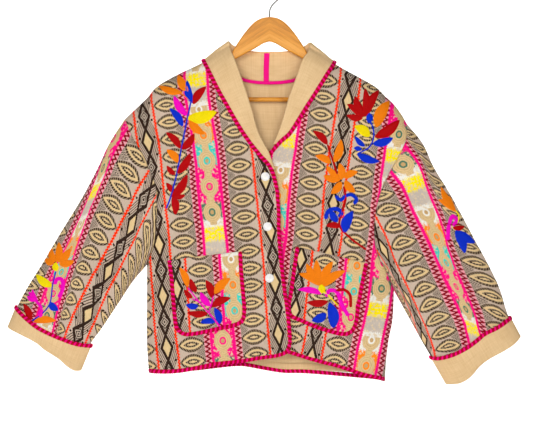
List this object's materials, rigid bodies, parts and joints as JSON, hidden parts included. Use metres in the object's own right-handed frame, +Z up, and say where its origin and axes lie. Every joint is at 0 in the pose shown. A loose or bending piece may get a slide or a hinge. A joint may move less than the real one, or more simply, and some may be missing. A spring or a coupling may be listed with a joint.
{
  "type": "jacket on a clothes hanger",
  "caption": "Open woven jacket with a shawl collar, patch pockets and turned-back cuffs, hung on a wooden hanger with a bar and a wire hook.",
  "frame": {"origin": "inner top of the hanger's wire hook, where a rail carries the garment", "axes": "+Z up; the front faces -Y; +X towards the wearer's left sleeve, along the hanger's bar"},
  "size_m": [1.0266, 0.0664, 0.8089],
  "materials": {
    "jacquard": "woven jacquard, many-coloured stripes, matt",
    "lining": "plain beige cotton, matt",
    "edging": "two-colour crocheted cord, pink and crimson, matt",
    "tape": "pink bias tape, matt",
    "button": "white, pearly",
    "wood": "varnished light wood, satin",
    "steel": "bare wire"
  },
  "bodies": {
    "root": {"back": "jacquard", "back_lining": "lining", "front_right": "jacquard", "front_left": "jacquard", "sleeve_right": "jacquard", "sleeve_left": "jacquard", "cuff_right": "lining", "cuff_left": "lining", "cuff_trim_right": "edging", "cuff_trim_left": "edging", "collar_right": "lining", "collar_left": "lining", "trim_right": "edging", "trim_left": "edging", "trim_back": "edging", "pocket_right": "jacquard", "pocket_left": "jacquard", "pocket_trim_right": "edging", "pocket_trim_left": "edging", "tape_centre": "tape", "tape_neck": "tape", "button_top": "button", "button_middle": "button", "button_bottom": "button", "hanger_right": "wood", "hanger_left": "wood", "hanger_bar": "wood", "hook": "steel"}
  },
  "joints": []
}
